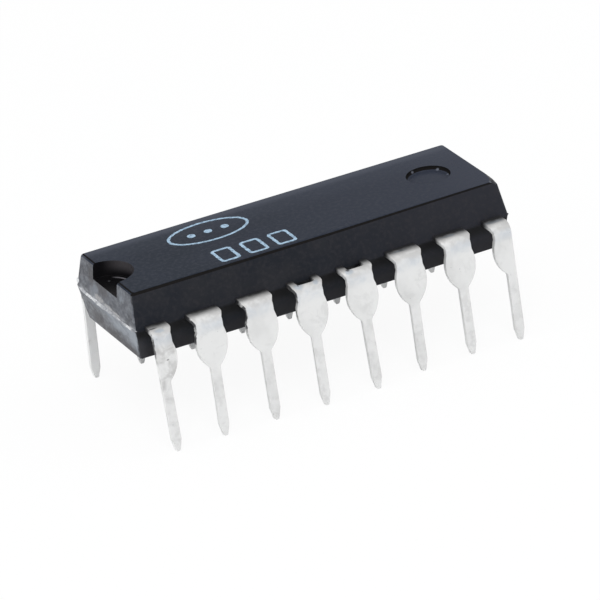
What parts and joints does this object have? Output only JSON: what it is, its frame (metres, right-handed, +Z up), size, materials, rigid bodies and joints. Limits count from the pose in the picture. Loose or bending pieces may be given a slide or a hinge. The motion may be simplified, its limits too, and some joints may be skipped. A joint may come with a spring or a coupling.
{
  "type": "dual in-line integrated circuit",
  "caption": "Integrated circuit chip in a dual in-line moulded plastic package, with rows of splayed tinned leads, a half-round end notch, and its die and bond wires inside.",
  "frame": {"origin": "under the middle of the body, at the level of the lead tips", "axes": "+X along the rows of leads, away from the notched end; +Y across the body towards leads 9 to 16; +Z up, out of the top of the body"},
  "size_m": [0.0192, 0.0096, 0.0073],
  "materials": {
    "mould_compound": "semi-gloss black epoxy moulding, satin on the ends",
    "tinned_lead": "matte tin plating",
    "lead_frame": "bare nickel-iron strip",
    "die_adhesive": "silver-filled epoxy",
    "silicon": "polished silicon",
    "gold_wire": "drawn gold wire"
  },
  "bodies": {
    "root": {"body": "mould_compound", "die_paddle": "lead_frame", "die_attach": "die_adhesive", "die": "silicon", "lead_01": "tinned_lead", "lead_02": "tinned_lead", "lead_03": "tinned_lead", "lead_04": "tinned_lead", "lead_05": "tinned_lead", "lead_06": "tinned_lead", "lead_07": "tinned_lead", "lead_08": "tinned_lead", "lead_09": "tinned_lead", "lead_10": "tinned_lead", "lead_11": "tinned_lead", "lead_12": "tinned_lead", "lead_13": "tinned_lead", "lead_14": "tinned_lead", "lead_15": "tinned_lead", "lead_16": "tinned_lead", "bond_wire_01": "gold_wire", "bond_wire_02": "gold_wire", "bond_wire_03": "gold_wire", "bond_wire_04": "gold_wire", "bond_wire_05": "gold_wire", "bond_wire_06": "gold_wire", "bond_wire_07": "gold_wire", "bond_wire_08": "gold_wire", "bond_wire_09": "gold_wire", "bond_wire_10": "gold_wire", "bond_wire_11": "gold_wire", "bond_wire_12": "gold_wire", "bond_wire_13": "gold_wire", "bond_wire_14": "gold_wire", "bond_wire_15": "gold_wire", "bond_wire_16": "gold_wire"}
  },
  "joints": []
}
